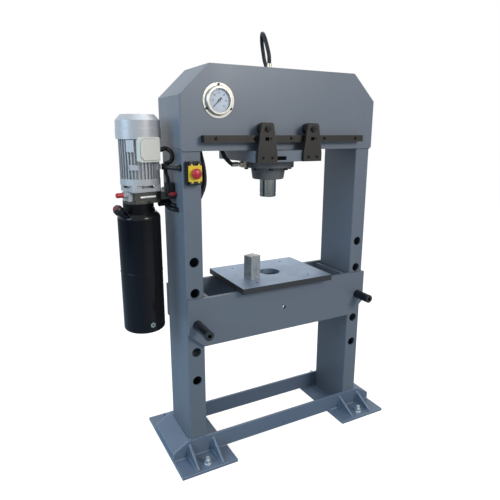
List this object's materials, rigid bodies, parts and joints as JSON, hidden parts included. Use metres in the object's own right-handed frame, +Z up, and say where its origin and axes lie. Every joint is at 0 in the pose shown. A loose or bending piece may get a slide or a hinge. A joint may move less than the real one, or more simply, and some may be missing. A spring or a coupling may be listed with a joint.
{
  "type": "h-frame hydraulic press",
  "caption": "Floor-standing H-frame hydraulic press: pinned bed, cylinder on a roller-hung sliding carriage, gauge, push-button switch and a vertical motor-pump unit with oil tank on its side.",
  "frame": {"origin": "on the floor, midway between the two columns and between the front and the rear of the frame", "axes": "+Z up, -Y towards the operator, +X to the operator's right; the power pack is on the -X side"},
  "size_m": [1.2775, 0.515, 1.8454],
  "materials": {
    "grey_paint": "satin",
    "zinc": "zinc plated",
    "burnished_steel": "burnished",
    "black_steel": "satin",
    "ground_steel": "ground",
    "chrome": "polished",
    "gauge_steel": "satin",
    "glass": "clear",
    "dial_white": "matt",
    "pointer_black": "matt",
    "black_plastic": "matt",
    "yellow_plastic": "gloss",
    "red_plastic": "gloss",
    "green_plastic": "gloss",
    "tank_paint": "gloss",
    "silver_paint": "satin",
    "box_paint": "satin",
    "cast_iron": "as cast",
    "black_rubber": "matt",
    "conduit_plastic": "matt"
  },
  "bodies": {
    "frame": {"left_column": "grey_paint", "right_column": "grey_paint", "crown_plates": "grey_paint", "crown_wrap": "grey_paint", "foot_plates": "grey_paint", "base_bars": "grey_paint", "foot_stiffeners": "grey_paint", "anchor_bolts": "zinc", "bed_front_plate": "grey_paint", "bed_rear_plate": "grey_paint", "bed_cross_plates": "grey_paint", "press_plate": "ground_steel", "steel_block": "ground_steel", "rails": "burnished_steel", "frame_screws": "black_steel", "gauge_case": "gauge_steel", "gauge_bezel": "gauge_steel", "gauge_glass": "glass", "gauge_dial": "dial_white", "switch_box": "black_plastic", "pump_bracket": "black_steel", "tank": "tank_paint", "drain_plug": "chrome", "manifold": "burnished_steel", "relief_valve": "silver_paint", "valve_caps": "red_plastic", "solenoid_valve": "black_plastic", "bell_housing": "silver_paint", "motor_body": "silver_paint", "fan_cowl": "silver_paint", "terminal_box": "box_paint", "gear_pump": "cast_iron", "cable_glands": "black_plastic", "top_hose": "black_rubber", "lower_hose": "black_rubber", "motor_conduit": "conduit_plastic", "switch_conduit": "conduit_plastic", "coil_lead": "conduit_plastic"},
    "left_pin": {"left_bed_pin": "black_steel"},
    "right_pin": {"right_bed_pin": "black_steel"},
    "carriage": {"carriage_plate": "grey_paint", "hanger_brackets": "burnished_steel", "roller_axles": "black_steel", "carriage_screws": "black_steel", "cylinder_body": "grey_paint", "cylinder_flange": "grey_paint", "gland": "grey_paint", "seals": "black_rubber", "port_fittings": "chrome"},
    "front_left_roller": {"front_left_roller": "black_steel"},
    "front_right_roller": {"front_right_roller": "black_steel"},
    "rear_left_roller": {"rear_left_roller": "black_steel"},
    "rear_right_roller": {"rear_right_roller": "black_steel"},
    "ram": {"ram": "chrome"},
    "needle": {"gauge_needle": "pointer_black"},
    "switch_cover": {"switch_cover": "yellow_plastic"},
    "stop_button": {"stop_button": "red_plastic"},
    "start_button": {"start_button": "green_plastic"},
    "rotor": {"motor_rotor": "ground_steel"},
    "filler_cap": {"filler_cap": "black_plastic"}
  },
  "joints": [
    {"name": "left_pin_slide", "type": "slide", "parent": "frame", "child": "left_pin", "axis": [0, -1, 0], "range_m": [0, 0.324]},
    {"name": "right_pin_slide", "type": "slide", "parent": "frame", "child": "right_pin", "axis": [0, -1, 0], "range_m": [0, 0.36]},
    {"name": "carriage_slide", "type": "slide", "parent": "frame", "child": "carriage", "axis": [1, 0, 0], "range_m": [-0.12, 0.16], "deforming": ["top_hose", "lower_hose"]},
    {"name": "front_left_roller_spin", "type": "hinge", "parent": "carriage", "child": "front_left_roller", "pos_m": [-0.125, -0.149, 1.4403], "axis": [0, 1, 0], "range_deg": [-280, 372]},
    {"name": "front_right_roller_spin", "type": "hinge", "parent": "carriage", "child": "front_right_roller", "pos_m": [0.097, -0.149, 1.4403], "axis": [0, 1, 0], "range_deg": [-280, 372]},
    {"name": "rear_left_roller_spin", "type": "hinge", "parent": "carriage", "child": "rear_left_roller", "pos_m": [-0.125, 0.149, 1.4403], "axis": [0, 1, 0], "range_deg": [-280, 372]},
    {"name": "rear_right_roller_spin", "type": "hinge", "parent": "carriage", "child": "rear_right_roller", "pos_m": [0.097, 0.149, 1.4403], "axis": [0, 1, 0], "range_deg": [-280, 372]},
    {"name": "ram_slide", "type": "slide", "parent": "carriage", "child": "ram", "axis": [0, 0, -1], "range_m": [0, 0.24]},
    {"name": "needle_turn", "type": "hinge", "parent": "frame", "child": "needle", "pos_m": [-0.315, -0.1365, 1.545], "axis": [0, 1, 0], "range_deg": [0, 270], "stiffness_Nm_per_rad": 0.0005},
    {"name": "switch_cover_hinge", "type": "hinge", "parent": "frame", "child": "switch_cover", "pos_m": [-0.429, -0.1545, 1.315], "axis": [-1, 0, 0], "range_deg": [0, 100]},
    {"name": "stop_button_push", "type": "slide", "parent": "switch_cover", "child": "stop_button", "axis": [0, 1, 0], "range_m": [0, 0.005], "stiffness_N_per_m": 600},
    {"name": "start_button_push", "type": "slide", "parent": "frame", "child": "start_button", "axis": [0, 1, 0], "range_m": [0, 0.0025], "stiffness_N_per_m": 600},
    {"name": "rotor_spin", "type": "hinge", "parent": "frame", "child": "rotor", "pos_m": [-0.591, 0.035, 1.3], "axis": [0, 0, 1], "continuous": true},
    {"name": "filler_cap_turn", "type": "hinge", "parent": "frame", "child": "filler_cap", "pos_m": [-0.673, -0.01, 1.1], "axis": [-0.6179, -0.3986, 0.6777], "range_deg": [0, 90]}
  ],
  "couplings": [
    {"joint": "front_left_roller_spin", "follows": "carriage_slide", "rad_per_m": 40},
    {"joint": "front_right_roller_spin", "follows": "carriage_slide", "rad_per_m": 40},
    {"joint": "rear_left_roller_spin", "follows": "carriage_slide", "rad_per_m": 40},
    {"joint": "rear_right_roller_spin", "follows": "carriage_slide", "rad_per_m": 40}
  ]
}
